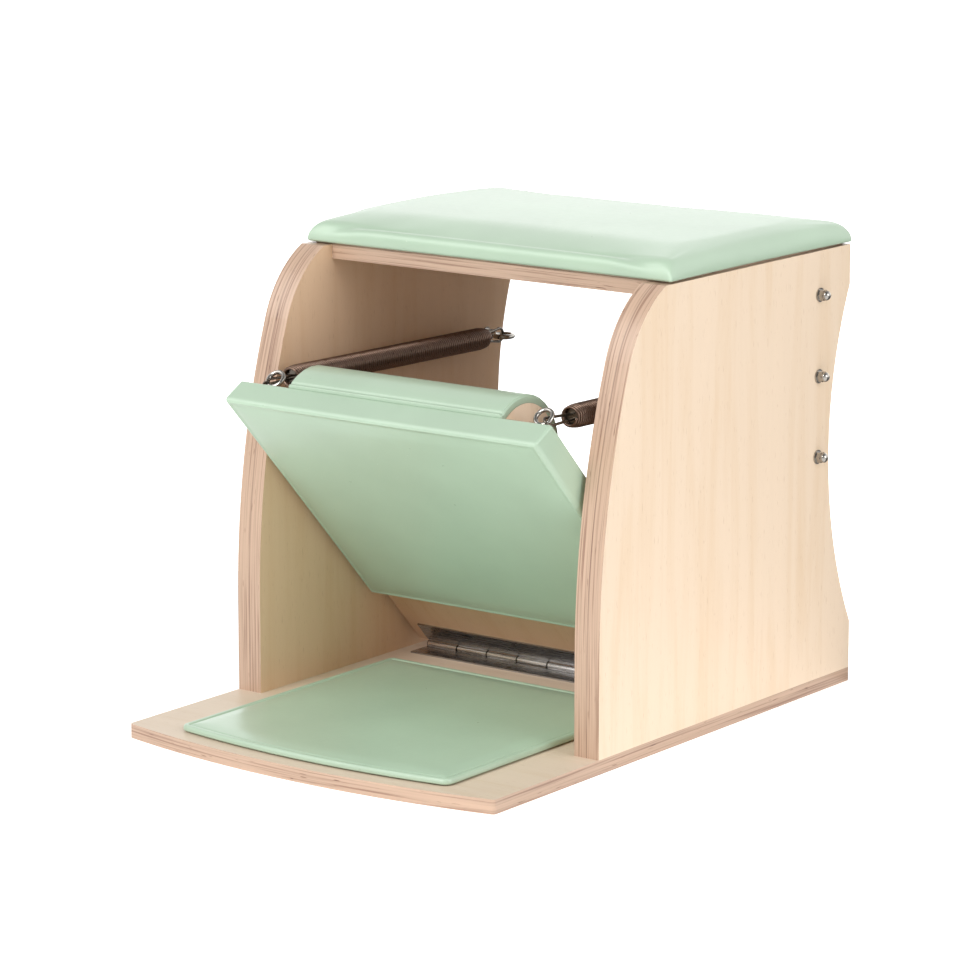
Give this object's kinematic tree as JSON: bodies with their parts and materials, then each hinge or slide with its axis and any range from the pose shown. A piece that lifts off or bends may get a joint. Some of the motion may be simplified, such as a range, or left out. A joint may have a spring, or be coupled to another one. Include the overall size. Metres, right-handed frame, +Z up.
{
  "type": "pilates chair",
  "caption": "Plywood exercise chair with an upholstered seat and a padded foot pedal that swings down on a long hinge against extension springs hooked to eye bolts.",
  "frame": {"origin": "middle of the whole chair's box, on the floor", "axes": "+Z up, -Y towards the front, where the pedal's foot bar is, +X to the right seen from the front"},
  "size_m": [0.5912, 0.8, 0.612],
  "materials": {
    "plywood": "clear satin lacquer",
    "vinyl": "mint-green semi-gloss vinyl over foam",
    "zinc_steel": "bright zinc plate",
    "brushed_stainless": "brushed",
    "spring_steel": "dark oil-tempered wire"
  },
  "bodies": {
    "frame": {"base_board": "plywood", "base_screws": "zinc_steel", "base_mat": "vinyl", "left_side_panel": "plywood", "right_side_panel": "plywood", "seat_board": "plywood", "seat_dowels": "plywood", "seat_screws": "zinc_steel", "seat_cushion_backing": "plywood", "seat_cushion": "vinyl", "hinge_base_leaf": "brushed_stainless", "hinge_base_screws": "zinc_steel", "hinge_pin": "brushed_stainless", "panel_washers": "zinc_steel", "panel_lock_nuts": "zinc_steel", "panel_cap_nuts": "zinc_steel", "left_upper_eye_bolt": "zinc_steel", "left_middle_eye_bolt": "zinc_steel", "left_lower_eye_bolt": "zinc_steel", "right_upper_eye_bolt": "zinc_steel", "right_middle_eye_bolt": "zinc_steel", "right_lower_eye_bolt": "zinc_steel"},
    "pedal": {"pedal_board": "plywood", "pedal_pad": "vinyl", "foot_bar": "plywood", "foot_bar_padding": "vinyl", "foot_bar_screws": "zinc_steel", "pedal_tee_nuts": "zinc_steel", "hinge_pedal_leaf": "brushed_stainless", "hinge_pedal_screws": "zinc_steel", "left_pedal_eye": "zinc_steel", "right_pedal_eye": "zinc_steel"},
    "left_spring": {"left_spring_coil": "spring_steel", "left_spring_front_hook": "spring_steel"},
    "left_spring_tail": {"left_spring_rear_hook": "spring_steel"},
    "right_spring": {"right_spring_coil": "spring_steel", "right_spring_front_hook": "spring_steel"},
    "right_spring_tail": {"right_spring_rear_hook": "spring_steel"}
  },
  "joints": [
    {"name": "pedal_swing", "type": "hinge", "parent": "frame", "child": "pedal", "pos_m": [0, 0.1575, 0.02275], "axis": [1, 0, 0], "range_deg": [0, 35], "stiffness_Nm_per_rad": 90, "springref_deg": -22.92},
    {"name": "left_spring_swing", "type": "hinge", "parent": "pedal", "child": "left_spring", "pos_m": [-0.215, -0.17513, 0.42442], "axis": [1, 0, 0], "range_deg": [-13, 0]},
    {"name": "left_spring_stretch", "type": "slide", "parent": "left_spring", "child": "left_spring_tail", "axis": [0, 0.9999, -0.0165], "range_m": [0, 0.232], "deforming": ["left_spring_coil"]},
    {"name": "right_spring_swing", "type": "hinge", "parent": "pedal", "child": "right_spring", "pos_m": [0.215, -0.17513, 0.42442], "axis": [1, 0, 0], "range_deg": [-13, 0]},
    {"name": "right_spring_stretch", "type": "slide", "parent": "right_spring", "child": "right_spring_tail", "axis": [0, 0.9999, -0.0165], "range_m": [0, 0.232], "deforming": ["right_spring_coil"]}
  ],
  "couplings": [
    {"joint": "left_spring_swing", "follows": "pedal_swing", "ratio": -0.362},
    {"joint": "left_spring_stretch", "follows": "pedal_swing", "m_per_rad": 0.371},
    {"joint": "right_spring_swing", "follows": "pedal_swing", "ratio": -0.362},
    {"joint": "right_spring_stretch", "follows": "pedal_swing", "m_per_rad": 0.371}
  ]
}
